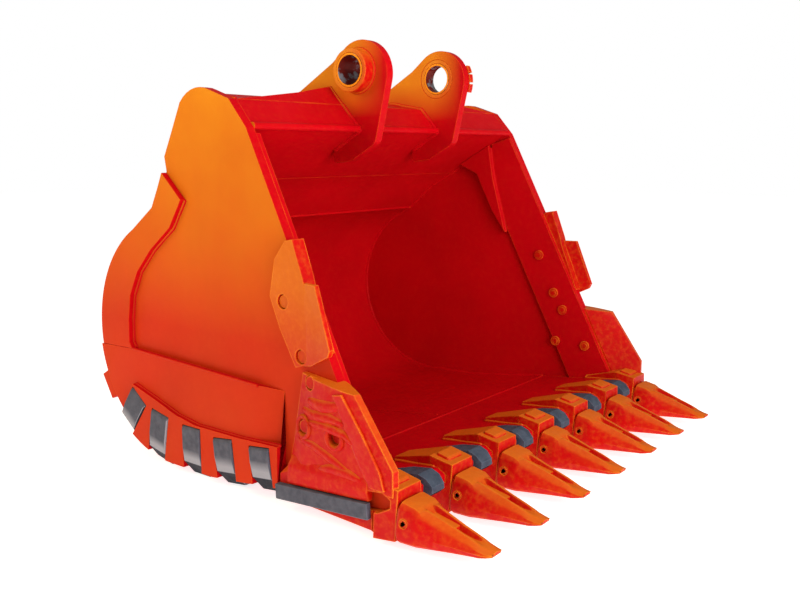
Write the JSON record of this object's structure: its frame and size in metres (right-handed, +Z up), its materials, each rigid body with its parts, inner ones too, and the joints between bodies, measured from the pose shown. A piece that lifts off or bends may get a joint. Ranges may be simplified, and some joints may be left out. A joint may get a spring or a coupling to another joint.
{
  "type": "excavator bucket",
  "caption": "Heavy-duty rock bucket with twin hanger ears, pinned teeth, lip shrouds and wear parts, for a large excavator.",
  "frame": {"origin": "on the stick-pin axis, half-way between the two side plates", "axes": "+X along the pin axes to the bucket's right, -Y forward, the way the teeth point, +Z up with the bucket resting on its floor"},
  "size_m": [2.636, 2.5868, 2.2078],
  "materials": {
    "shell_paint": "glossy red-orange paint",
    "cast_paint": "glossy paint over cast steel",
    "wear_grey": "rough grey cast surface",
    "shroud_blue_grey": "dark blue-grey cast surface",
    "bush_steel": "turned steel"
  },
  "bodies": {
    "bucket": {"wrapper": "shell_paint", "back_plate": "shell_paint", "tube_shell": "shell_paint", "top_plate": "shell_paint", "side_plate_left": "shell_paint", "side_plate_right": "shell_paint", "side_bar_left": "shell_paint", "side_bar_right": "shell_paint", "heel_band_left": "shell_paint", "heel_band_right": "shell_paint", "lower_side_left": "shell_paint", "lower_side_right": "shell_paint", "corner_gussets": "shell_paint", "ear_left": "shell_paint", "ear_right": "shell_paint", "ear_braces": "shell_paint", "stick_boss_left": "shell_paint", "stick_boss_right": "shell_paint", "link_boss_left": "shell_paint", "link_boss_right": "shell_paint", "stick_bushes": "bush_steel", "link_bushes": "bush_steel", "pin_lugs": "shell_paint", "lip": "shell_paint", "wing_left": "cast_paint", "wing_right": "cast_paint", "adapter_1": "cast_paint", "adapter_2": "cast_paint", "adapter_3": "cast_paint", "adapter_4": "cast_paint", "adapter_5": "cast_paint", "adapter_6": "cast_paint", "adapter_7": "cast_paint", "tooth_1": "cast_paint", "tooth_2": "cast_paint", "tooth_3": "cast_paint", "tooth_4": "cast_paint", "tooth_5": "cast_paint", "tooth_6": "cast_paint", "tooth_7": "cast_paint", "lip_shroud_1": "shroud_blue_grey", "lip_shroud_2": "shroud_blue_grey", "lip_shroud_3": "shroud_blue_grey", "lip_shroud_4": "shroud_blue_grey", "lip_shroud_5": "shroud_blue_grey", "lip_shroud_6": "shroud_blue_grey", "protector_left": "shell_paint", "protector_right": "shell_paint", "side_bolts": "cast_paint", "heel_shrouds_left": "wear_grey", "heel_shrouds_right": "wear_grey", "wear_bars": "wear_grey", "wear_strips": "shell_paint"},
    "turning_lock_1": {"lock_1": "cast_paint"},
    "turning_lock_2": {"lock_2": "cast_paint"},
    "turning_lock_3": {"lock_3": "cast_paint"},
    "turning_lock_4": {"lock_4": "cast_paint"},
    "turning_lock_5": {"lock_5": "cast_paint"},
    "turning_lock_6": {"lock_6": "cast_paint"},
    "turning_lock_7": {"lock_7": "cast_paint"}
  },
  "joints": [
    {"name": "lock_1_turn", "type": "hinge", "parent": "bucket", "child": "turning_lock_1", "pos_m": [-1.2, -0.99, -1.923], "axis": [-1, 0, 0], "range_deg": [0, 90]},
    {"name": "lock_2_turn", "type": "hinge", "parent": "bucket", "child": "turning_lock_2", "pos_m": [-0.8, -0.99, -1.923], "axis": [-1, 0, 0], "range_deg": [0, 90]},
    {"name": "lock_3_turn", "type": "hinge", "parent": "bucket", "child": "turning_lock_3", "pos_m": [-0.4, -0.99, -1.923], "axis": [-1, 0, 0], "range_deg": [0, 90]},
    {"name": "lock_4_turn", "type": "hinge", "parent": "bucket", "child": "turning_lock_4", "pos_m": [0, -0.99, -1.923], "axis": [-1, 0, 0], "range_deg": [0, 90]},
    {"name": "lock_5_turn", "type": "hinge", "parent": "bucket", "child": "turning_lock_5", "pos_m": [0.4, -0.99, -1.923], "axis": [-1, 0, 0], "range_deg": [0, 90]},
    {"name": "lock_6_turn", "type": "hinge", "parent": "bucket", "child": "turning_lock_6", "pos_m": [0.8, -0.99, -1.923], "axis": [-1, 0, 0], "range_deg": [0, 90]},
    {"name": "lock_7_turn", "type": "hinge", "parent": "bucket", "child": "turning_lock_7", "pos_m": [1.2, -0.99, -1.923], "axis": [-1, 0, 0], "range_deg": [0, 90]}
  ]
}
